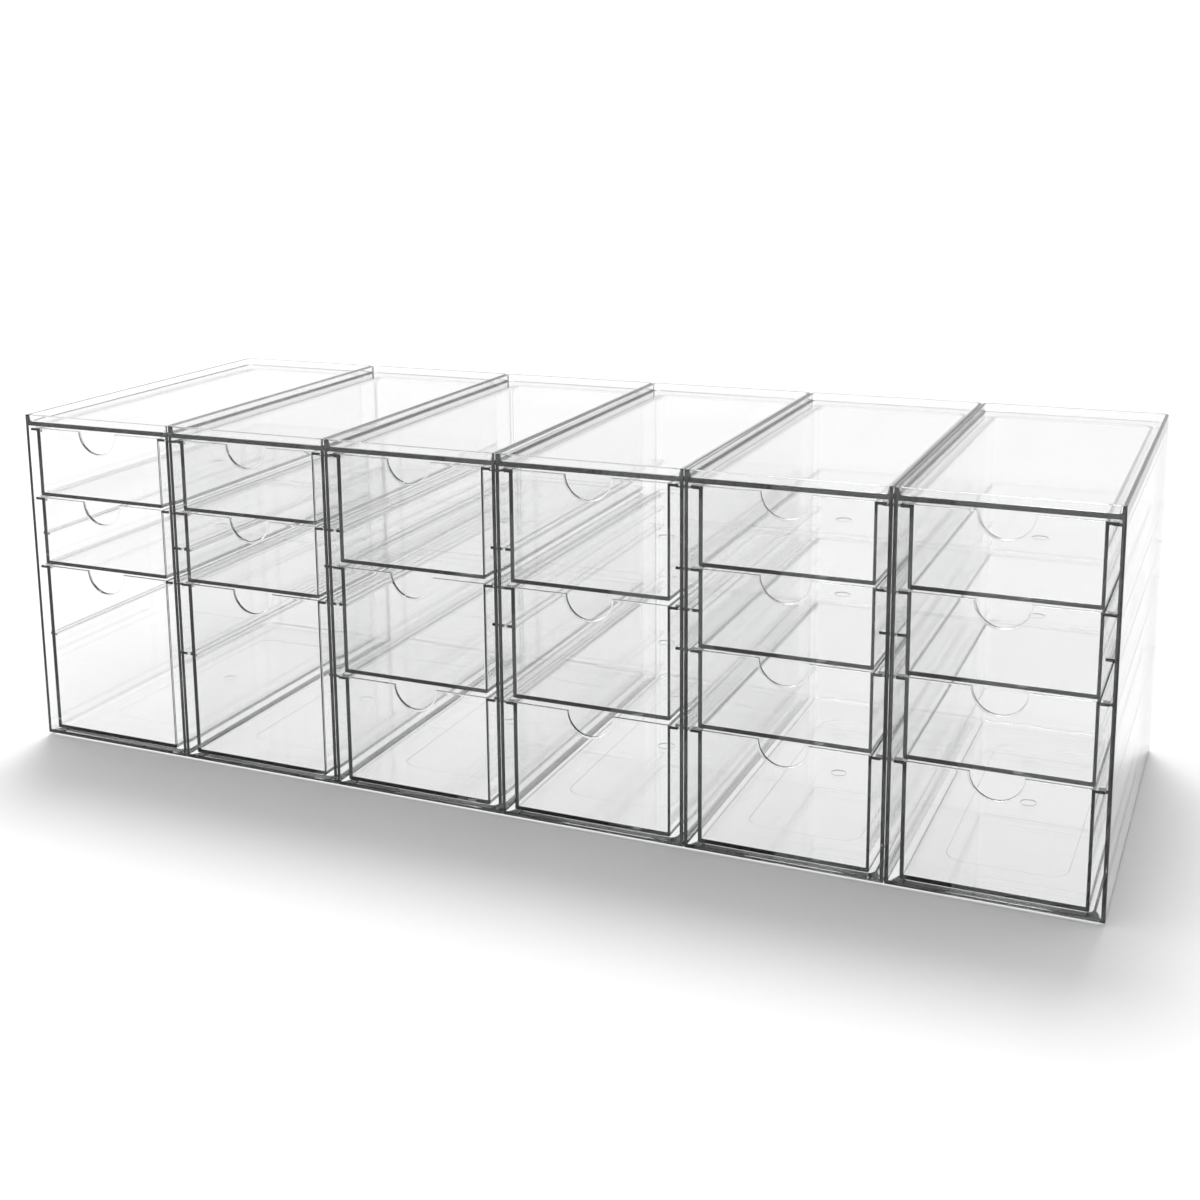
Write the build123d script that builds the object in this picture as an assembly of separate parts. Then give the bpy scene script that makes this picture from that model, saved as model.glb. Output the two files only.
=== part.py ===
from build123d import *

import os
from typing import NamedTuple

# A row of six clear drawer towers. Each tower is one case, open at the front, with
# drawers that hang on its ledges by their side flanges.
# Millimetres. x runs along the row, -y is the front, +z is up. The origin is the
# centre of the row's footprint, on the surface that the towers stand on.

# Case of one tower
CASE_WIDTH = 104.0
CASE_DEPTH = 232.0
SIDE_WALL = 2.0
BACK_WALL = 2.0
FLOOR_THICKNESS = 2.2
TOP_THICKNESS = 2.2
CASE_BACK_RADIUS = 4.0
TOWER_GAP = 0.3

# Rim that stands round the top panel, so that another tower's foot nests in it
RIM_DEPTH = 4.4
RIM_FRONT = 2.0
RIM_EDGE_RADIUS = 0.5
RIM_FILLET = 0.8

# Foot under the floor, with a shallow panel sunk in its underside
FOOT_DROP = 1.5
FOOT_INSET = 5.0
FOOT_TAPER_DEGREES = 38.0
FOOT_PANEL_WIDTH = 60.0
FOOT_PANEL_LENGTH = 162.0
FOOT_PANEL_RADIUS = 10.0
FOOT_PANEL_SINK = 0.6

# Ledges on the inside of both side walls
LEDGE_PITCH = 21.25
LEDGE_WIDTH = 4.6
LEDGE_THICKNESS = 1.6
LEDGE_SETBACK = 6.0

# Walls of a drawer
DRAWER_WALL = 1.7
DRAWER_FRONT = 2.0
DRAWER_FLOOR = 1.8
DRAWER_BOTTOM_RADIUS = 2.4
DRAWER_BACK_RADIUS = 7.0
FLANGE_THICKNESS = 1.4

# Thumb notch in the top edge of a drawer front
NOTCH_RADIUS = 12.8
NOTCH_CORNER_RADIUS = 0.9

# Round mark that the mould's gate leaves under a drawer's floor
GATE_MARK_RADIUS = 4.2
GATE_MARK_SINK = 0.4

# Clearances
TOP_CLEARANCE = 1.4
FLOOR_CLEARANCE = 1.7
SIDE_CLEARANCE = 0.8
FLANGE_CLEARANCE = 1.0
RUN_CLEARANCE = 0.2
FRONT_RECESS = 0.5
BACK_CLEARANCE = 4.0
LOW_DRAWER_GAP = 1.3
HIGH_DRAWER_GAP = 2.75

# Smallest inside radius that a corner keeps where its wall takes up the outer one
LEAST_RADIUS = 0.5


class DrawerKind(NamedTuple):
    """How many ledge pitches a drawer fills, and the gap that it leaves below it."""

    pitches: int
    gap: float

    @property
    def height(self):
        return self.pitches * LEDGE_PITCH - self.gap


LOW = DrawerKind(2, LOW_DRAWER_GAP)
MEDIUM = DrawerKind(3, HIGH_DRAWER_GAP)
TALL = DrawerKind(5, HIGH_DRAWER_GAP)

# Drawers of each tower from the top down, with the towers from left to right
TOWERS = (
    (LOW, LOW, TALL),
    (LOW, LOW, TALL),
    (MEDIUM, MEDIUM, MEDIUM),
    (MEDIUM, MEDIUM, MEDIUM),
    (LOW, LOW, LOW, MEDIUM),
    (LOW, LOW, LOW, MEDIUM),
)
DRAWER_NAMES = {3: ("top", "middle", "bottom"), 4: ("top", "upper", "lower", "bottom")}

# Heights above the surface that the towers stand on
FLOOR_TOP = FOOT_DROP + FLOOR_THICKNESS
BOTTOM_DRAWER_Z = FLOOR_TOP + FLOOR_CLEARANCE
PITCHES = sum(kind.pitches for kind in TOWERS[0])
TOP_DRAWER_EDGE = BOTTOM_DRAWER_Z + PITCHES * LEDGE_PITCH - min(tower[-1].gap for tower in TOWERS)
PANEL_UNDERSIDE = TOP_DRAWER_EDGE + TOP_CLEARANCE
PANEL_TOP = PANEL_UNDERSIDE + TOP_THICKNESS
CASE_HEIGHT = PANEL_TOP + RIM_DEPTH

# Inside of the case, and the drawers that fit it
INNER_WIDTH = CASE_WIDTH - 2 * SIDE_WALL
INNER_BACK_RADIUS = max(CASE_BACK_RADIUS - BACK_WALL, LEAST_RADIUS)
DRAWER_WIDTH = INNER_WIDTH - 2 * (LEDGE_WIDTH + SIDE_CLEARANCE)
DRAWER_LENGTH = CASE_DEPTH - FRONT_RECESS - BACK_CLEARANCE - BACK_WALL
FLANGE_WIDTH = INNER_WIDTH - 2 * FLANGE_CLEARANCE
FRONT_Y = -CASE_DEPTH / 2
BACK_Y = CASE_DEPTH / 2


def slab(width, front, back, bottom, top):
    """Block that is centred across x, from one y and z to another."""
    return Pos(0, (front + back) / 2, (bottom + top) / 2) * Box(width, back - front, top - bottom)


def round_backed(width, front, back, bottom, top, back_radius):
    """Block whose two upright back corners are rounded."""
    block = slab(width, front, back, bottom, top)
    return fillet(block.edges().filter_by(Axis.Z).group_by(Axis.Y)[-1], back_radius)


def ledge_levels():
    """Pitches below the top drawer at which some tower hangs a drawer.

    Every case is the same moulding, so each has the ledges for all arrangements.
    """
    return sorted({sum(kind.pitches for kind in tower[:i]) for tower in TOWERS for i in range(len(tower))})


def drawer_edge(level):
    """Height of the top edge of a drawer that hangs this many pitches down."""
    return TOP_DRAWER_EDGE - level * LEDGE_PITCH


def ledge_pair(level):
    """Two ledges under the flanges of a drawer at this level."""
    top = drawer_edge(level) - FLANGE_THICKNESS - RUN_CLEARANCE
    front = FRONT_Y + LEDGE_SETBACK
    bars = slab(CASE_WIDTH - SIDE_WALL, front, BACK_Y - BACK_WALL / 2, top - LEDGE_THICKNESS, top)
    return bars - slab(INNER_WIDTH - 2 * LEDGE_WIDTH, FRONT_Y, BACK_Y, top - LEDGE_THICKNESS, top)


def rim_recess():
    """Space over the top panel, inside the rim."""
    recess = round_backed(
        INNER_WIDTH, FRONT_Y + RIM_FRONT, BACK_Y - BACK_WALL, PANEL_TOP, CASE_HEIGHT, INNER_BACK_RADIUS
    )
    return fillet(recess.faces().sort_by(Axis.Z)[0].edges(), RIM_FILLET)


def foot():
    """Low tapered plate under the floor that nests in the rim of a tower below."""
    outline = RectangleRounded(CASE_WIDTH - 2 * FOOT_INSET, CASE_DEPTH - 2 * FOOT_INSET, CASE_BACK_RADIUS)
    plate = extrude(Pos(0, 0, FOOT_DROP) * outline, FOOT_DROP, dir=(0, 0, -1), taper=FOOT_TAPER_DEGREES)
    panel = RectangleRounded(FOOT_PANEL_WIDTH, FOOT_PANEL_LENGTH, FOOT_PANEL_RADIUS)
    return plate - extrude(panel, FOOT_PANEL_SINK)


def case():
    """Case of one tower, centred on x = 0."""
    shell = round_backed(CASE_WIDTH, FRONT_Y, BACK_Y, FOOT_DROP, CASE_HEIGHT, CASE_BACK_RADIUS)
    shell = fillet(shell.faces().sort_by(Axis.Z)[-1].edges(), RIM_EDGE_RADIUS)
    shell -= round_backed(
        INNER_WIDTH, FRONT_Y, BACK_Y - BACK_WALL, FLOOR_TOP, PANEL_UNDERSIDE, INNER_BACK_RADIUS
    )
    shell -= rim_recess()
    for level in ledge_levels():
        shell += ledge_pair(level)
    return shell + foot()


def drawer_tub(height):
    """Open box of a drawer with rounded bottom edges, standing on z = 0."""
    front = FRONT_Y + FRONT_RECESS
    back = front + DRAWER_LENGTH
    outside = round_backed(DRAWER_WIDTH, front, back, 0, height, DRAWER_BACK_RADIUS)
    outside = fillet(outside.faces().sort_by(Axis.Z)[0].edges().sort_by(Axis.Y)[1:], DRAWER_BOTTOM_RADIUS)
    hollow = round_backed(
        DRAWER_WIDTH - 2 * DRAWER_WALL,
        front + DRAWER_FRONT,
        back - DRAWER_WALL,
        DRAWER_FLOOR,
        height,
        max(DRAWER_BACK_RADIUS - DRAWER_WALL, LEAST_RADIUS),
    )
    inside_radius = max(DRAWER_BOTTOM_RADIUS - DRAWER_WALL, LEAST_RADIUS)
    return outside - fillet(hollow.faces().sort_by(Axis.Z)[0].edges(), inside_radius)


def flange_pair(height):
    """Two flanges along the top of a drawer's sides, up to its rounded back corners."""
    front = FRONT_Y + FRONT_RECESS
    back = front + DRAWER_LENGTH - DRAWER_BACK_RADIUS
    bars = slab(FLANGE_WIDTH, front, back, height - FLANGE_THICKNESS, height)
    return bars - slab(DRAWER_WIDTH - DRAWER_WALL, front, back, height - FLANGE_THICKNESS, height)


def cut_notch(body, height):
    """Half-round thumb notch in the top edge of the front, with eased corners."""
    front = FRONT_Y + FRONT_RECESS
    bore = Rot(90, 0, 0) * Cylinder(NOTCH_RADIUS, 2 * DRAWER_FRONT)
    body -= Pos(0, front, height) * bore
    corners = [
        edge
        for edge in body.edges().filter_by(Axis.Y).group_by(Axis.Z)[-1]
        if abs(edge.center().X) < NOTCH_RADIUS + LEAST_RADIUS
    ]
    return fillet(corners, NOTCH_CORNER_RADIUS)


def drawer(kind):
    """Drawer of one kind, standing on z = 0."""
    height = kind.height
    body = cut_notch(drawer_tub(height) + flange_pair(height), height)
    middle = FRONT_Y + FRONT_RECESS + DRAWER_LENGTH / 2
    mark = Cylinder(GATE_MARK_RADIUS, GATE_MARK_SINK, align=(Align.CENTER, Align.CENTER, Align.MIN))
    return body - Pos(0, middle, 0) * mark


def tower_x(number):
    """Centre of a tower, numbered from the left."""
    return (number - (len(TOWERS) + 1) / 2) * (CASE_WIDTH + TOWER_GAP)


def write(solid, name):
    """Save one piece under its name."""
    export_step(solid, f"parts/{name}.step")


os.makedirs("parts", exist_ok=True)
case_solid = case()
drawer_solids = {kind: drawer(kind) for kind in (LOW, MEDIUM, TALL)}

for number, tower in enumerate(TOWERS, start=1):
    write(Pos(tower_x(number), 0, 0) * case_solid, f"tower_{number}_case")
    level = 0
    for name, kind in zip(DRAWER_NAMES[len(tower)], tower):
        bottom = drawer_edge(level) - kind.height
        write(Pos(tower_x(number), 0, bottom) * drawer_solids[kind], f"tower_{number}_{name}_drawer")
        level += kind.pitches
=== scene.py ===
"""Row of clear drawer towers: cases, hanging drawers, finishes, light and camera."""

import logging
import math
from dataclasses import dataclass, field
from enum import Enum
from typing import Any, Optional, Union

import bmesh
import bpy
import numpy as np
from mathutils import Matrix, Vector


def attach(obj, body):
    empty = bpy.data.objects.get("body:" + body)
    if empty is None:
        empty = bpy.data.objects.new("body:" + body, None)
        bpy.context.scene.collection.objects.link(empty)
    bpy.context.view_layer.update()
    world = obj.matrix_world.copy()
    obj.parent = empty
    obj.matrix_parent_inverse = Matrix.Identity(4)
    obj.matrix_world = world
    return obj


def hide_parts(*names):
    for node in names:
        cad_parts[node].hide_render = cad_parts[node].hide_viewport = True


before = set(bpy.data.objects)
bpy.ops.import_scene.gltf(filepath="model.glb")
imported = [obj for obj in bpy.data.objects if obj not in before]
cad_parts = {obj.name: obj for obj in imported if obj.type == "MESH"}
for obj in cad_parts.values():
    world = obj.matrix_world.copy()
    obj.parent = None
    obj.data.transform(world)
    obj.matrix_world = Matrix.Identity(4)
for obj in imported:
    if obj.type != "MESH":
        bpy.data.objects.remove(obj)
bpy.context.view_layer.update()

MM = 0.001
LOG = logging.getLogger("drawer_towers")

# Points closer than this are one point, and shorter edges are dissolved, in metres
MERGE_DISTANCE = 2e-6
SHORTEST_EDGE = 1e-6
# Edges that turn more than this stay sharp
SHARP_DEGREES = 50.0
# How much large faces count in the normals beside them, where 50 is neutral and 100 the most
FLAT_WEIGHT = 100


class DrawerKind(Enum):
    """Drawers of the row by how many ledge pitches they fill."""

    LOW = 2
    MEDIUM = 3
    TALL = 5


class Slot(Enum):
    """Material slots of the part."""

    CASE = "case_clear"
    DRAWER = "drawer_clear"


DRAWER_NAMES = {3: ("top", "middle", "bottom"), 4: ("top", "upper", "lower", "bottom")}
TOWERS = (
    (DrawerKind.LOW, DrawerKind.LOW, DrawerKind.TALL),
    (DrawerKind.LOW, DrawerKind.LOW, DrawerKind.TALL),
    (DrawerKind.MEDIUM, DrawerKind.MEDIUM, DrawerKind.MEDIUM),
    (DrawerKind.MEDIUM, DrawerKind.MEDIUM, DrawerKind.MEDIUM),
    (DrawerKind.LOW, DrawerKind.LOW, DrawerKind.LOW, DrawerKind.MEDIUM),
    (DrawerKind.LOW, DrawerKind.LOW, DrawerKind.LOW, DrawerKind.MEDIUM),
)


# ---------------------------------------------------------------- meshes


def mesh_object(name: str, points: np.ndarray, faces: list[list[int]]) -> bpy.types.Object:
    """Makes an object of points and faces.

    Points that coincide are merged, and the faces are turned outwards.

    Args:
        name: Name of the object and its mesh.
        points: Array of points by 3, in metres.
        faces: Point numbers of each face.

    Returns:
        The object, linked to the scene, at the origin.
    """
    mesh = bpy.data.meshes.new(name)
    mesh.from_pydata(points.tolist(), [], faces)
    work = bmesh.new()
    work.from_mesh(mesh)
    bmesh.ops.remove_doubles(work, verts=work.verts, dist=MERGE_DISTANCE)
    bmesh.ops.dissolve_degenerate(work, edges=work.edges, dist=SHORTEST_EDGE)
    bmesh.ops.recalc_face_normals(work, faces=work.faces)
    work.to_mesh(mesh)
    work.free()
    mesh.validate()
    piece = bpy.data.objects.new(name, mesh)
    bpy.context.scene.collection.objects.link(piece)
    return piece


def lofted(name: str, rings: np.ndarray) -> bpy.types.Object:
    """Closed skin through a stack of closed rings.

    Ring k's point j joins ring k's point j + 1 and the same two points of ring k + 1, and one
    flat face closes the first ring and another the last.

    Args:
        name: Name of the object.
        rings: Array of K rings by M points by 3, in metres.

    Returns:
        The closed object.
    """
    count, columns = rings.shape[:2]
    index = np.arange(count * columns).reshape(count, columns)
    here, there = index[:-1], index[1:]
    quads = np.stack([here, np.roll(here, -1, 1), np.roll(there, -1, 1), there], axis=-1)
    faces = quads.reshape(-1, 4).tolist()
    faces += [index[0, ::-1].tolist(), index[-1].tolist()]
    return mesh_object(name, rings.reshape(-1, 3), faces)


def smooth_with_flats(piece: bpy.types.Object) -> None:
    """Shades the small roundings smooth and keeps the large faces flat.

    Args:
        piece: A mesh object.
    """
    piece.data.shade_smooth()
    piece.data.set_sharp_from_angle(angle=math.radians(SHARP_DEGREES))
    weighted = piece.modifiers.new("flat_faces", "WEIGHTED_NORMAL")
    weighted.keep_sharp = True
    weighted.weight = FLAT_WEIGHT


def with_modifiers_applied(piece: bpy.types.Object) -> None:
    """Gives a piece the mesh that its modifiers make, and removes them.

    Args:
        piece: A mesh object.
    """
    graph = bpy.context.evaluated_depsgraph_get()
    made = bpy.data.meshes.new_from_object(piece.evaluated_get(graph))
    made.name = piece.name
    piece.modifiers.clear()
    piece.data = made


def cut_out(piece: bpy.types.Object, tool: bpy.types.Object) -> None:
    """Cuts one closed mesh out of another, and removes the tool.

    Args:
        piece: The object that keeps what is left.
        tool: The object that is cut away.
    """
    cut = piece.modifiers.new("cut", "BOOLEAN")
    cut.operation = "DIFFERENCE"
    cut.solver = "EXACT"
    cut.object = tool
    with_modifiers_applied(piece)
    bpy.data.objects.remove(tool)


# ---------------------------------------------------------------- outlines


@dataclass(frozen=True)
class PlanOutline:
    """Rounded rectangle seen from above, in millimetres.

    The outline runs anticlockwise from the left end of its front. Each corner is a quarter
    circle: its centre plus the radius times the cosine and sine of an angle that turns by 90
    degrees. A corner's points are even in that angle, and the sides are straight between them.
    """

    half_width: float
    front: float
    back: float
    front_radius: float
    back_radius: float
    corner_points: int = 7

    def points(self) -> np.ndarray:
        """x and y of the outline, four corners' worth of points."""
        turn = np.linspace(0.0, math.pi / 2, self.corner_points)
        w, f, b = self.half_width, self.front, self.back
        rf, rb = self.front_radius, self.back_radius
        corners = [
            (-w + rf, f + rf, rf, math.pi),
            (w - rf, f + rf, rf, -math.pi / 2),
            (w - rb, b - rb, rb, 0.0),
            (-w + rb, b - rb, rb, math.pi / 2),
        ]
        arcs = [
            np.stack([x + r * np.cos(start + turn), y + r * np.sin(start + turn)], axis=-1)
            for x, y, r, start in corners
        ]
        return np.concatenate(arcs)

    def ring(self, height: float) -> np.ndarray:
        """The outline at one height, as rows of x, y and z in millimetres."""
        flat = self.points()
        return np.column_stack([flat, np.full(len(flat), height)])


def rounding(radius: float, steps: int) -> list[tuple[float, float]]:
    """Inset and rise along a rounded edge.

    The inset is the radius times one minus the sine of an angle, and the rise the radius times
    one minus its cosine, while the angle goes from 0 to 90 degrees.

    Args:
        radius: Radius of the edge.
        steps: Pairs to return.

    Returns:
        Pairs that start at full inset and no rise, and end at no inset and full rise.
    """
    turn = np.linspace(0.0, math.pi / 2, steps)
    return list(zip(radius * (1 - np.sin(turn)), radius * (1 - np.cos(turn))))


# ---------------------------------------------------------------- shader nodes


class Wire:
    """One output socket of a shader node, with arithmetic that adds Math nodes."""

    def __init__(self, nodes: "Nodes", socket: Optional[bpy.types.NodeSocket]) -> None:
        """Keeps the tree and the socket, which is None after a node without outputs."""
        self.nodes = nodes
        self.socket = socket

    def _math(self, operation: str, *values: Union["Wire", float]) -> "Wire":
        """Output of a new Math node on these values."""
        return self.nodes.add("ShaderNodeMath", {"operation": operation}, dict(enumerate(values)))

    def __add__(self, other: Union["Wire", float]) -> "Wire":
        """Sum."""
        return self._math("ADD", self, other)

    def __sub__(self, other: Union["Wire", float]) -> "Wire":
        """Difference."""
        return self._math("SUBTRACT", self, other)

    def __rsub__(self, other: float) -> "Wire":
        """A number minus this."""
        return self._math("SUBTRACT", other, self)

    def __mul__(self, other: Union["Wire", float]) -> "Wire":
        """Product."""
        return self._math("MULTIPLY", self, other)

    def __abs__(self) -> "Wire":
        """Size without its sign."""
        return self._math("ABSOLUTE", self)

    def held(self) -> "Wire":
        """Held between 0 and 1."""
        return self._math("MINIMUM", self._math("MAXIMUM", self, 0.0), 1.0)

    __radd__ = __add__
    __rmul__ = __mul__


class Nodes:
    """Node tree of one material or world."""

    def __init__(self, tree: bpy.types.NodeTree) -> None:
        """Empties the tree."""
        self.tree = tree
        tree.nodes.clear()

    def add(
        self,
        kind: str,
        settings: Optional[dict[str, Any]] = None,
        inputs: Optional[dict[Union[str, int], Any]] = None,
        output: Union[str, int] = 0,
    ) -> Wire:
        """Adds one node.

        Args:
            kind: Blender's type of the node.
            settings: Its settings, which are set before its sockets.
            inputs: Values or wires of its input sockets by name or number.
            output: The output socket to return.

        Returns:
            The wire from that output.
        """
        node = self.tree.nodes.new(kind)
        for name, value in (settings or {}).items():
            setattr(node, name, value)
        for name, value in (inputs or {}).items():
            if isinstance(value, Wire):
                self.tree.links.new(value.socket, node.inputs[name])
            else:
                node.inputs[name].default_value = value
        return Wire(self, node.outputs[output] if len(node.outputs) else None)

    def grey(self, value: Wire) -> Wire:
        """Colour whose three channels are the same value."""
        channels = {"Red": value, "Green": value, "Blue": value}
        return self.add("ShaderNodeCombineColor", {"mode": "RGB"}, channels)


@dataclass(frozen=True)
class ClearPlastic:
    """Water-clear moulded polystyrene with the faint marks of moulding and handling."""

    name: str
    ior: float = 1.53
    absorption_per_metre: float = 12.0
    tint: tuple[float, float, float] = (0.02, 0.05, 0.04)
    haze: float = 0.008
    flow_scale: float = 22.0
    flow_squeeze: float = 0.35
    flow_height: float = 0.000004
    scuff_scale: float = 160.0
    scuff_start: float = 0.58
    scuff_full: float = 0.8

    def material(self) -> bpy.types.Material:
        """Builds the material.

        The normal carries slow flow waves, a noise stretched along the depth of the moulding.
        The surface is polished, with a haze where a fine noise passes a threshold, as light
        scuffs: the roughness rises evenly from the scuffs' start to their full value.

        Returns:
            The material.
        """
        made = bpy.data.materials.new(self.name)
        made.use_nodes = True
        nodes = Nodes(made.node_tree)
        place = nodes.add("ShaderNodeTexCoord", output="Object")
        stretched = nodes.add(
            "ShaderNodeMapping", {}, {"Vector": place, "Scale": (1.0, self.flow_squeeze, 1.0)}
        )
        flow = nodes.add(
            "ShaderNodeTexNoise",
            {"noise_dimensions": "3D"},
            {"Vector": stretched, "Scale": self.flow_scale, "Detail": 1.0, "Roughness": 0.4},
        )
        fine = nodes.add(
            "ShaderNodeTexNoise",
            {"noise_dimensions": "3D"},
            {"Vector": place, "Scale": self.scuff_scale, "Detail": 2.0, "Roughness": 0.6},
        )
        scuffs = nodes.add(
            "ShaderNodeMapRange",
            {"clamp": True},
            {
                "Value": fine,
                "From Min": self.scuff_start,
                "From Max": self.scuff_full,
                "To Min": 0.0,
                "To Max": self.haze,
            },
        )
        height = flow * self.flow_height
        normal = nodes.add(
            "ShaderNodeBump", {}, {"Strength": 1.0, "Distance": 1.0, "Height": height}
        )
        surface = nodes.add(
            "ShaderNodeBsdfPrincipled",
            {},
            {
                "Base Color": (1.0, 1.0, 1.0, 1.0),
                "Roughness": scuffs,
                "IOR": self.ior,
                "Transmission Weight": 1.0,
                "Normal": normal,
            },
        )
        inside = nodes.add(
            "ShaderNodeVolumeAbsorption",
            {},
            {"Color": (*self.tint, 1.0), "Density": self.absorption_per_metre},
        )
        nodes.add("ShaderNodeOutputMaterial", {}, {"Surface": surface, "Volume": inside})
        return made


@dataclass(frozen=True)
class StudioFloor:
    """Matt pale paper with a painted glow under the row, painted light that stands in for light
    through the clear walls.

    The paper is a little darker to the right, as painted light from the left, and darker in a band
    behind the row, as painted shade.
    """

    name: str = "studio_floor"
    albedo: float = 0.8
    # painted light: the paper darker to the right, as if lit from the left
    painted_light_lean: float = -0.05
    # painted shade in a band behind the row, and where it starts and ends
    shade: float = 0.06
    shade_start: float = 0.1
    shade_rise: float = 5.0
    shade_end: float = 1.6
    shade_fall: float = 2.0
    # painted light: glow under the row's footprint, brighter to the left, with its size, fade and
    # cover
    painted_glow: float = 0.97
    painted_glow_lean: float = -0.35
    painted_glow_half: tuple[float, float] = (0.3122, 0.1155)
    painted_glow_fade: float = 0.003
    painted_glow_cover: float = 0.85
    grain_scale: float = 900.0
    grain: float = 0.01

    def material(self) -> bpy.types.Material:
        """Builds the material: pale paper with a faint even grain, and the row's painted glow.

        The painted glow's mask is the product of two ramps. Each is the distance in from the
        glow's edge along one axis over the fade's width, held between 0 and 1. The glow takes its
        cover's share off the paper's grey. The painted shade behind the row is a product of two
        ramps too: one rises from its start and the other falls to nothing at its end.

        Returns:
            The material.
        """
        made = bpy.data.materials.new(self.name)
        made.use_nodes = True
        nodes = Nodes(made.node_tree)
        place = nodes.add("ShaderNodeTexCoord", output="Object")
        noise = nodes.add(
            "ShaderNodeTexNoise",
            {"noise_dimensions": "3D"},
            {"Vector": place, "Scale": self.grain_scale, "Detail": 1.0},
        )
        across = nodes.add("ShaderNodeSeparateXYZ", {}, {0: place}, output="X")
        along = nodes.add("ShaderNodeSeparateXYZ", {}, {0: place}, output="Y")
        # size and mask of the painted glow under the row
        half_x, half_y = self.painted_glow_half
        panel = ((half_x - abs(across)) * (1 / self.painted_glow_fade)).held() * (
            (half_y - abs(along)) * (1 / self.painted_glow_fade)
        ).held()
        # painted shade in a band behind the row
        shade_near = ((along - self.shade_start) * self.shade_rise).held()
        shade_far = ((self.shade_end - along) * self.shade_fall).held()
        behind = shade_near * shade_far * self.shade
        # paper grey with the painted side light and the painted shade taken off
        paper = (noise * self.grain + across * self.painted_light_lean + self.albedo - behind).held()
        # painted light: the glow under the row, brighter to the left
        glow = panel * (across * self.painted_glow_lean + self.painted_glow)
        surface = nodes.add(
            "ShaderNodeBsdfPrincipled",
            {},
            {
                "Base Color": nodes.grey(paper * (1 - panel * self.painted_glow_cover)),
                "Roughness": 1.0,
                "Specular IOR Level": 0.0,
                "Emission Color": nodes.grey(glow),
                "Emission Strength": 1.0,
            },
        )
        nodes.add("ShaderNodeOutputMaterial", {}, {"Surface": surface})
        return made


# ---------------------------------------------------------------- case


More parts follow.
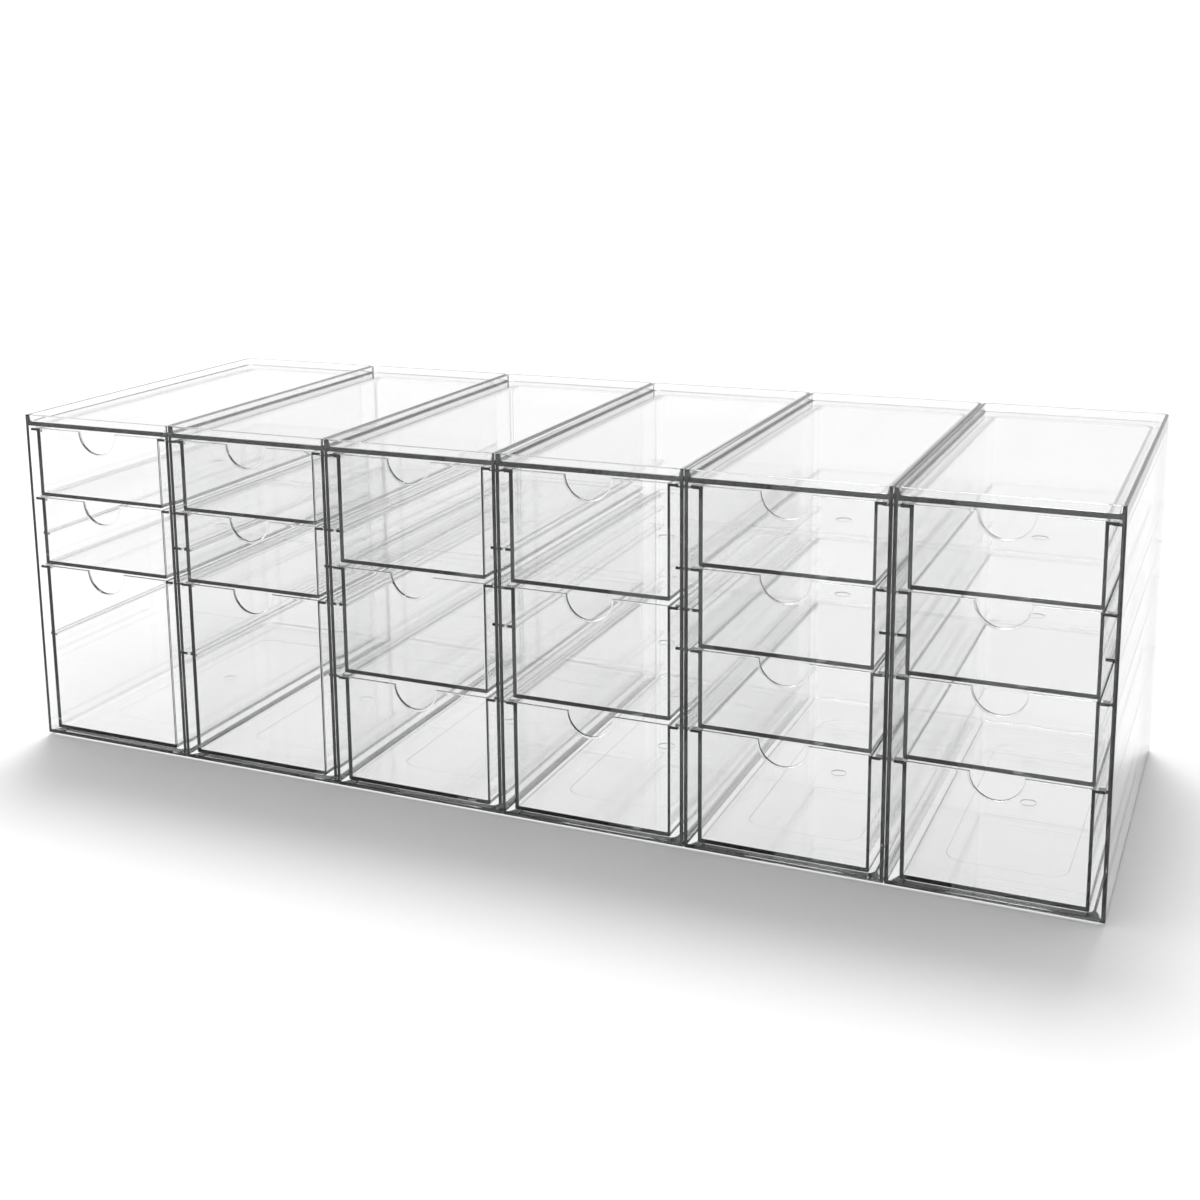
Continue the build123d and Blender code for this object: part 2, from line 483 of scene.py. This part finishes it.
@dataclass
class Case:
    """Case of one tower: walls, floor with its foot, top panel in its rim, and ledges."""

    width: float = 104.0
    depth: float = 232.0
    wall: float = 2.0
    back_wall: float = 2.0
    bottom: float = 1.5
    floor_top: float = 3.7
    panel_underside: float = 195.3
    panel_top: float = 197.5
    height: float = 201.9
    back_radius: float = 4.0
    front_edge: float = 0.35
    top_edge: float = 0.5
    recess_corner: float = 0.5
    recess_fillet: float = 0.8
    least_corner: float = 0.3
    foot_inset: float = 5.0
    foot_taper: float = 1.172
    foot_edge: float = 0.3
    foot_edge_rise: float = 0.12
    panel_mark: tuple[float, float, float, float] = (60.0, 162.0, 10.0, 0.6)
    panel_mark_edge: float = 0.25
    ledge_tops: tuple[float, ...] = (192.3, 149.8, 128.55, 107.3, 64.8)
    ledge_width: float = 4.6
    ledge_thickness: float = 1.6
    ledge_setback: float = 6.0
    ledge_edge: float = 0.35
    ledge_steps: int = 3
    ledge_end_steps: int = 4
    mouth_edge: float = 0.3
    mouth_steps: int = 4
    mouth_reach: float = 2.0
    front_steps: int = 3
    top_steps: int = 5
    back_steps: int = 6

    @property
    def front(self) -> float:
        """y of the front edges."""
        return -self.depth / 2

    def skin(self, name: str) -> bpy.types.Object:
        """Outer skin without the drawer space.

        It is a loft of plan outlines: from the mark sunk in the foot, out over the foot, up the
        walls, over the rim, and down to the top panel.

        Args:
            name: Name of the object.

        Returns:
            The closed object, centred on x = 0, in metres.
        """
        w, f, b = self.width / 2, self.front, self.depth / 2
        mark_width, mark_length, mark_radius, sink = self.panel_mark
        foot = self.foot_inset
        rings: list[np.ndarray] = []

        def add(inset: float, height: float, front_radius: float, back_radius: float) -> None:
            """Adds the case's outline, drawn in by an inset, at one height."""
            outline = PlanOutline(w - inset, f + inset, b - inset, front_radius, back_radius)
            rings.append(outline.ring(height))

        def add_mark(grow: float, height: float) -> None:
            """Adds the outline of the mark under the foot."""
            half, end, radius = mark_width / 2 + grow, mark_length / 2 + grow, mark_radius + grow
            rings.append(PlanOutline(half, -end, end, radius, radius).ring(height))

        add_mark(0.0, sink)
        add_mark(0.0, self.panel_mark_edge)
        add_mark(self.panel_mark_edge, 0.0)
        radius = self.back_radius
        add(foot + self.foot_taper + self.foot_edge, 0.0, radius, radius)
        add(foot + self.foot_taper, self.foot_edge_rise, radius, radius)
        add(foot, self.bottom, radius, radius)
        for inset, rise in rounding(self.front_edge, self.front_steps):
            add(inset, self.bottom + rise, self.front_edge, radius - inset)
        for inset, drop in reversed(rounding(self.top_edge, self.top_steps)):
            add(inset, self.height - drop, self.front_edge, radius - inset)
        inner_radius = radius - self.back_wall
        for grow, drop in rounding(self.front_edge, self.front_steps):
            front_corner = self.recess_corner + grow
            add(self.wall - grow, self.height - drop, front_corner, inner_radius + grow)
        for inset, rise in reversed(rounding(self.recess_fillet, self.top_steps)):
            corner = max(inner_radius - inset, self.least_corner)
            front_corner = max(self.recess_corner, corner)
            add(self.wall + inset, self.panel_top + rise, front_corner, corner)
        return lofted(name, np.array(rings) * MM)

    def drawer_space(self) -> bpy.types.Object:
        """Space that the drawers slide in, a loft along the depth of its outline from the front.

        The outline goes down one wall and up the other. Where a ledge stands on the wall it
        steps in to the ledge's tip and back, with eased edges. The ledges start a little behind
        the mouth, whose edges are rounded, and the wall draws in round the back corners.

        Returns:
            The closed object, centred on x = 0, in metres.
        """
        half = self.width / 2 - self.wall
        inner_radius = self.back_radius - self.back_wall
        back = self.depth / 2 - self.back_wall
        ledge_front = self.front + self.ledge_setback
        stations = [(self.front - self.mouth_reach, self.mouth_edge, 0.0, 0.0)]
        for grow, step in rounding(self.mouth_edge, self.mouth_steps):
            stations.append((self.front + step, grow, 0.0, 0.0))
        stations.append((ledge_front, 0.0, 0.0, 0.0))
        for inset, step in rounding(self.ledge_edge, self.ledge_end_steps):
            stations.append((ledge_front + step, 0.0, self.ledge_width - inset, inset))
        stations.append((0.0, 0.0, self.ledge_width, 0.0))
        for turn in np.linspace(0.0, math.pi / 2, self.back_steps):
            y = back - inner_radius + inner_radius * math.sin(turn)
            stations.append((y, -inner_radius * (1 - math.cos(turn)), self.ledge_width, 0.0))
        rings = [
            self._space_outline(y, half, grow, reach, inset) for y, grow, reach, inset in stations
        ]
        return lofted("drawer_space", np.array(rings) * MM)

    def _space_outline(
        self, y: float, half: float, grow: float, reach: float, inset: float
    ) -> np.ndarray:
        """Outline of the drawer space at one depth.

        In front of the ledges their points lie on the wall, so that every outline has as many.

        Args:
            y: Depth.
            half: Half of the space's width.
            grow: How far the walls stand outside it.
            reach: How far the ledges stand in from the wall at full width.
            inset: How far the ledges' faces are drawn in, for their rounded ends.

        Returns:
            Rows of x, y and z in millimetres, anticlockwise seen from the front.
        """
        wall = half + grow
        tip = half - reach
        arc = rounding(self.ledge_edge, self.ledge_steps)
        side = [(wall, self.floor_top - max(grow, 0.0))]
        for top in sorted(self.ledge_tops):
            low, high = top - self.ledge_thickness + inset, top - inset
            if reach <= 0:
                side += [(wall, low)] * (len(arc) + 1) + [(wall, high)] * (len(arc) + 1)
                continue
            side.append((wall, low))
            side += [(tip + ease, low + rise) for ease, rise in arc]
            side += [(tip + ease, high - rise) for ease, rise in reversed(arc)]
            side.append((wall, high))
        side.append((wall, self.panel_underside + max(grow, 0.0)))
        right = np.array(side)
        left = right[::-1] * np.array([-1.0, 1.0])
        flat = np.concatenate([right, left])
        return np.column_stack([flat[:, 0], np.full(len(flat), y), flat[:, 1]])

    def build(self, name: str, centre: float) -> bpy.types.Object:
        """Builds the case.

        Args:
            name: Name of the piece.
            centre: x of the tower's centre, in millimetres.

        Returns:
            The finished mesh object.
        """
        piece = self.skin(name)
        cut_out(piece, self.drawer_space())
        piece.data.transform(Matrix.Translation((centre * MM, 0.0, 0.0)))
        smooth_with_flats(piece)
        return piece


# ---------------------------------------------------------------- drawer


@dataclass
class Drawer:
    """Drawer of one height: a thin-walled tub with side flanges and a thumb notch."""

    height: float
    width: float = 89.2
    front: float = -115.5
    length: float = 225.5
    wall: float = 1.7
    front_wall: float = 2.0
    floor: float = 1.8
    bottom_radius: float = 0.8
    back_radius: float = 7.0
    front_radius: float = 0.4
    inner_radius: float = 0.3
    edge: float = 0.3
    flange_reach: float = 4.4
    flange_thickness: float = 1.4
    flange_end: float = 1.6
    flange_steps: int = 4
    least_corner: float = 0.05
    notch_radius: float = 12.8
    notch_fillet: float = 0.95
    notch_margin: float = 0.5
    notch_ease: tuple[float, float] = (0.4, 0.05)
    notch_points: int = 41
    mark_radius: float = 4.2
    mark_sink: float = 0.7
    mark_edge: tuple[float, float] = (0.1, 0.05)
    plain_points: int = 4
    corner_points: int = 6
    side_points: int = 9
    side_spread_degrees: float = 60.0
    end_points: int = 5
    back_points: int = 10
    front_steps: int = 3
    bottom_steps: int = 6
    top_steps: int = 5
    inner_steps: int = 4
    notch_curve: np.ndarray = field(init=False)
    side_share: np.ndarray = field(init=False)

    def __post_init__(self) -> None:
        """Works out what all outlines share.

        The notch curve has rows of the cosine and sine of an even angle, which goes over the
        notch's half circle from left to right. They are also the directions across and down
        into the plastic. The side share is, per row of an outline, how much it belongs to the
        sides and the back: 0 along the front, rising round the front corner to 1.
        """
        sweep = np.linspace(0.0, math.pi, self.notch_points)
        self.notch_curve = np.stack([-np.cos(sweep), np.sin(sweep)], axis=-1)
        turn = np.linspace(0.0, math.pi / 2, self.corner_points)
        beside = self.side_points + self.end_points + 1 + self.back_points
        share = np.concatenate([turn / (math.pi / 2), np.ones(beside)])
        along_front = np.zeros(2 * self.plain_points + self.notch_points)
        self.side_share = np.concatenate([along_front, share, share[::-1]])

    @property
    def back(self) -> float:
        """y of the outside of the back wall."""
        return self.front + self.length

    @property
    def middle(self) -> float:
        """y halfway along the drawer."""
        return self.front + self.length / 2

    @property
    def notch_rows(self) -> slice:
        """Rows of an outline that belong to the notch."""
        return slice(self.plain_points, self.plain_points + self.notch_points)

    def _outline(
        self,
        half: float,
        front: float,
        back: float,
        corner: float,
        back_corner: float,
        reach: float = 0.0,
        bevel: float = 0.0,
    ) -> np.ndarray:
        """Plan outline with the flanges on its sides.

        It starts at the left end of the front and runs anticlockwise. The sides stand out by
        the reach up to the flanges' rounded rear ends. Their points lie in even directions
        from the middle of the floor, so that the gate mark's outline is an even ring.

        Args:
            half: Half of the width without flanges.
            front: y of the front.
            back: y of the back.
            corner: Radius of the front corners.
            back_corner: Radius of the back corners.
            reach: How far the flanges stand out.
            bevel: How far the flanges' sides and rear ends are drawn in.

        Returns:
            Rows of x and y.
        """
        gap = self.notch_radius + self.notch_fillet + self.notch_margin
        plain = np.linspace(corner - half, -gap, self.plain_points)
        notch_x = self.notch_radius * self.notch_curve[:, 0]
        front_x = np.concatenate([plain, notch_x, -plain[::-1]])
        front_part = np.column_stack([front_x, np.full(len(front_x), front)])

        turn = np.linspace(0.0, math.pi / 2, self.corner_points)
        wide = half + reach - bevel
        radius = max(corner - bevel, self.least_corner)
        corner_part = np.column_stack(
            [wide - radius + radius * np.sin(turn), front + corner - corner * np.cos(turn)]
        )

        spread = math.radians(self.side_spread_degrees)
        columns = self.width / 2 * np.tan(np.linspace(-spread, spread, self.side_points))
        rear = np.linspace(0.0, math.pi / 2, self.end_points)
        drawn_in = self.flange_end * (1 - np.cos(rear)) if reach else np.zeros(self.end_points)
        end = self.back - self.back_radius - bevel
        side_part = np.concatenate(
            [
                np.column_stack([np.full(self.side_points, wide), self.middle + columns]),
                np.column_stack([wide - drawn_in, end - self.flange_end * (1 - np.sin(rear))]),
                [[half, end]],
            ]
        )

        bend = np.linspace(0.0, math.pi / 2, self.back_points)
        back_part = np.column_stack(
            [
                half - back_corner + back_corner * np.cos(bend),
                back - back_corner + back_corner * np.sin(bend),
            ]
        )
        right = np.concatenate([corner_part, side_part, back_part])
        left = right[::-1] * np.array([-1.0, 1.0])
        return np.concatenate([front_part, right, left])

    def _lowered(self, outline: np.ndarray, depth: float, notch_depth: float) -> np.ndarray:
        """Places an outline under the top edge and round the notch.

        A point goes below the edge by the depth. On the notch it lies on a half circle whose
        radius is the notch's plus the notch depth.

        Args:
            outline: Rows of x and y.
            depth: Depth below the edge.
            notch_depth: Depth into the plastic round the notch.

        Returns:
            Rows of x, y and z in millimetres.
        """
        height = np.full(len(outline), self.height - depth)
        across = outline[:, 0].copy()
        rows = self.notch_rows
        reach = self.notch_radius + notch_depth
        across[rows] = reach * self.notch_curve[:, 0]
        height[rows] = np.minimum(self.height - reach * self.notch_curve[:, 1], height[rows])
        return np.column_stack([across, outline[:, 1], height])

    def _bottom_rings(self) -> list[np.ndarray]:
        """Rings from the sunk gate mark out to the walls and up the bottom's rounding.

        The front's lower edge has a smaller radius than the sides', so a point's height is
        mixed from the two by its side share.
        """
        half, low, corner = self.width / 2, self.bottom_radius, self.front_radius
        back, back_corner = self.back - low, self.back_radius - low
        middle = np.array([0.0, self.middle])
        spoke = self._outline(half - low, self.front + corner, back, corner, back_corner) - middle
        spoke /= np.linalg.norm(spoke, axis=1, keepdims=True)
        ease, drop = self.mark_edge
        made: list[np.ndarray] = []
        for radius, height in (
            (self.mark_radius - ease, self.mark_sink),
            (self.mark_radius, self.mark_sink - drop),
            (self.mark_radius + ease, 0.0),
        ):
            made.append(np.column_stack([middle + spoke * radius, np.full(len(spoke), height)]))
        for inset, rise in rounding(corner, self.front_steps):
            outline = self._outline(half - low, self.front + inset, back, corner, back_corner)
            made.append(np.column_stack([outline, rise * (1 - self.side_share)]))
        for inset, rise in rounding(low, self.bottom_steps)[1:]:
            outline = self._outline(
                half - inset, self.front, self.back - inset, corner, self.back_radius - inset
            )
            front_rise = corner + (low - corner) * rise / low
            height = front_rise * (1 - self.side_share) + rise * self.side_share
            made.append(np.column_stack([outline, height]))
        return made

    def _outer_rings(self) -> list[np.ndarray]:
        """Rings up the outside, round the flanges and over the outer top edge.

        The notch's outer edge has a wider rounding than the top edge. It eases into the front
        over the rings below.
        """
        half, corner = self.width / 2, self.front_radius
        outline = self._outline(half, self.front, self.back, corner, self.back_radius)
        ease = self.notch_fillet + np.linspace(*self.notch_ease, self.flange_steps + 1)
        made = [self._lowered(outline, self.flange_thickness, ease[0])]
        for (bevel, rise), notch_depth in zip(rounding(self.edge, self.flange_steps), ease[1:]):
            outline = self._outline(
                half, self.front, self.back, corner, self.back_radius, self.flange_reach, bevel
            )
            made.append(self._lowered(outline, self.flange_thickness - rise, notch_depth))
        plain_edge = reversed(rounding(self.edge, self.top_steps))
        notch_edge = reversed(rounding(self.notch_fillet, self.top_steps))
        for (inset, drop), (notch_inset, notch_drop) in zip(plain_edge, notch_edge):
            outline = self._outline(
                half - inset,
                self.front + inset,
                self.back - inset,
                corner,
                self.back_radius - inset,
                self.flange_reach,
            )
            outline[self.notch_rows, 1] = self.front + notch_inset
            made.append(self._lowered(outline, drop, notch_drop))
        return made

    def _inner_rings(self) -> list[np.ndarray]:
        """Rings over the inner top edge, down the inside and in to the floor."""
        half, front = self.width / 2 - self.wall, self.front + self.front_wall
        back, corner = self.back - self.wall, self.inner_radius
        back_corner = self.back_radius - self.wall
        made: list[np.ndarray] = []
        for grow, drop in rounding(self.edge, self.top_steps):
            outline = self._outline(
                half + grow, front - grow, back + grow, corner + grow, back_corner + grow
            )
            made.append(self._lowered(outline, drop, drop))
        for inset, rise in reversed(rounding(self.inner_radius, self.inner_steps)):
            outline = self._outline(
                half - inset, front + inset, back - inset, corner, back_corner - inset
            )
            made.append(np.column_stack([outline, np.full(len(outline), self.floor + rise)]))
        return made

    def rings(self) -> np.ndarray:
        """All rings of the drawer's skin, from the gate mark under the floor to the floor inside.

        Returns:
            Array of rings by points by 3, in millimetres.
        """
        return np.array(self._bottom_rings() + self._outer_rings() + self._inner_rings())

    def build(self, name: str, centre: float, bottom: float) -> bpy.types.Object:
        """Builds the drawer in its place.

        Args:
            name: Name of the piece.
            centre: x of the tower's centre, in millimetres.
            bottom: z of the drawer's underside, in millimetres.

        Returns:
            The finished mesh object.
        """
        place = np.array([centre, 0.0, bottom])
        piece = lofted(name, (self.rings() + place) * MM)
        smooth_with_flats(piece)
        return piece


# ---------------------------------------------------------------- row


@dataclass
class DrawerRow:
    """Whole row: a case and its drawers for each tower."""

    pitch: float = 104.3
    top_drawer_edge: float = 193.9
    ledge_pitch: float = 21.25
    low_gap: float = 1.3
    high_gap: float = 2.75
    case_finish: ClearPlastic = ClearPlastic("case_clear_plastic")
    drawer_finish: ClearPlastic = ClearPlastic(
        "drawer_clear_plastic", flow_scale=30.0, scuff_scale=190.0
    )

    def drawer_height(self, kind: DrawerKind) -> float:
        """Height of a drawer of this kind."""
        gap = self.low_gap if kind is DrawerKind.LOW else self.high_gap
        return kind.value * self.ledge_pitch - gap

    def dress(
        self, piece: bpy.types.Object, finish: bpy.types.Material, body: str, node: str
    ) -> None:
        """Gives a piece its finish and body, and hides the node of the solids that it stands for.

        Args:
            piece: A finished mesh object.
            finish: Its material.
            body: The body that it moves with.
            node: The node of the solids that it replaces.
        """
        piece.data.materials.clear()
        piece.data.materials.append(finish)
        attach(piece, body)
        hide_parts(node)
        LOG.info("%s: %d points, rides on %s", piece.name, len(piece.data.vertices), body)

    def build(self) -> None:
        """Builds every case and drawer."""
        case_finish = self.case_finish.material()
        drawer_finish = self.drawer_finish.material()
        for number, tower in enumerate(TOWERS, start=1):
            centre = (number - (len(TOWERS) + 1) / 2) * self.pitch
            name = f"tower_{number}_case"
            case = Case().build(f"{name}_clear", centre)
            self.dress(case, case_finish, "cases", name)
            level = 0
            for place, kind in zip(DRAWER_NAMES[len(tower)], tower):
                height = self.drawer_height(kind)
                bottom = self.top_drawer_edge - level * self.ledge_pitch - height
                node = f"tower_{number}_{place}_drawer"
                drawer = Drawer(height).build(f"{node}_clear", centre, bottom)
                self.dress(drawer, drawer_finish, node, node)
                level += kind.value


# ---------------------------------------------------------------- studio


@dataclass
class Studio:
    """Floor, soft light and the camera, in metres."""

    floor_size: float = 12.0
    floor_points: int = 13
    floor_gap: float = 0.0002
    sky: float = 1.0
    sky_lean: float = -0.08
    room_from: float = 0.1
    room_top: float = 0.65
    room_rise: float = 3.0
    room_dark: float = 0.85
    key_strength: float = 1.9
    key_softness_degrees: float = 24.0
    key_place: tuple[float, float, float] = (-0.62, 2.0, 4.3)
    camera_place: tuple[float, float, float] = (0.3769, -0.86835, 0.38275)
    yaw_degrees: float = 24.561
    pitch_degrees: float = -11.047
    roll_degrees: float = -0.82
    lens: float = 49.63
    sensor_width: float = 36.0
    nearest: float = 0.01
    shift: tuple[float, float] = (0.04, -0.149)
    light_bounces: int = 48

    def floor(self) -> bpy.types.Object:
        """Wide flat floor under the row, an even grid of points a hair below its feet."""
        side = np.linspace(-self.floor_size / 2, self.floor_size / 2, self.floor_points)
        x, y = np.meshgrid(side, side)
        points = np.column_stack([x.ravel(), y.ravel(), np.full(x.size, -self.floor_gap)])
        index = np.arange(x.size).reshape(x.shape)
        quads = np.stack([index[:-1, :-1], index[:-1, 1:], index[1:, 1:], index[1:, :-1]], axis=-1)
        mesh = bpy.data.meshes.new("floor")
        mesh.from_pydata(points.tolist(), [], quads.reshape(-1, 4).tolist())
        made = bpy.data.objects.new("floor", mesh)
        bpy.context.scene.collection.objects.link(made)
        made.data.materials.append(StudioFloor().material())
        return made

    def sky_light(self) -> None:
        """White surround, a little brighter to the left, with a darker room on the near side.

        The room's share is the product of two ramps, each held between 0 and 1: the direction's
        reach towards the front past a start, and its height short of the room's top.
        """
        world = bpy.data.worlds.new("studio_surround")
        world.use_nodes = True
        nodes = Nodes(world.node_tree)
        direction = nodes.add("ShaderNodeTexCoord", output="Generated")
        across = nodes.add("ShaderNodeSeparateXYZ", {}, {0: direction}, output="X")
        along = nodes.add("ShaderNodeSeparateXYZ", {}, {0: direction}, output="Y")
        upward = nodes.add("ShaderNodeSeparateXYZ", {}, {0: direction}, output="Z")
        low = ((self.room_top - upward) * self.room_rise).held()
        room = ((-self.room_from - along) * self.room_rise).held() * low * self.room_dark
        glow = nodes.add(
            "ShaderNodeBackground",
            {},
            {"Color": (1.0, 1.0, 1.0, 1.0), "Strength": across * self.sky_lean + self.sky - room},
        )
        nodes.add("ShaderNodeOutputWorld", {}, {"Surface": glow})
        bpy.context.scene.world = world

    def key_light(self) -> None:
        """Large soft light far off, high behind the row, that falls evenly on all the floor."""
        data = bpy.data.lights.new("key", "SUN")
        data.energy = self.key_strength
        data.angle = math.radians(self.key_softness_degrees)
        light = bpy.data.objects.new("key", data)
        bpy.context.scene.collection.objects.link(light)
        light.location = self.key_place
        light.rotation_mode = "QUATERNION"
        light.rotation_quaternion = (-Vector(self.key_place)).to_track_quat("-Z", "Y")

    def camera(self) -> None:
        """Camera that looks down the row from the front right."""
        data = bpy.data.cameras.new("camera")
        data.lens = self.lens
        data.sensor_width = self.sensor_width
        data.shift_x, data.shift_y = self.shift
        data.clip_start = self.nearest
        made = bpy.data.objects.new("camera", data)
        bpy.context.scene.collection.objects.link(made)
        turn = (
            Matrix.Rotation(math.radians(self.yaw_degrees), 4, "Z")
            @ Matrix.Rotation(math.radians(90.0 + self.pitch_degrees), 4, "X")
            @ Matrix.Rotation(math.radians(self.roll_degrees), 4, "Z")
        )
        made.matrix_world = Matrix.Translation(self.camera_place) @ turn
        bpy.context.scene.camera = made

    def light_paths(self) -> None:
        """Lets light pass through all the clear walls, and keeps whites plain."""
        scene = bpy.context.scene
        scene.view_settings.view_transform = "Standard"
        scene.cycles.max_bounces = self.light_bounces
        scene.cycles.transmission_bounces = self.light_bounces
        scene.cycles.glossy_bounces = self.light_bounces
        scene.cycles.transparent_max_bounces = self.light_bounces

    def build(self) -> None:
        """Builds the studio."""
        self.camera()
        self.floor()
        self.sky_light()
        self.key_light()
        self.light_paths()


def main() -> None:
    """Builds the studio and the row."""
    logging.basicConfig(level=logging.INFO, format="%(name)s %(message)s")
    Studio().build()
    DrawerRow().build()


if __name__ == "__main__":
    main()
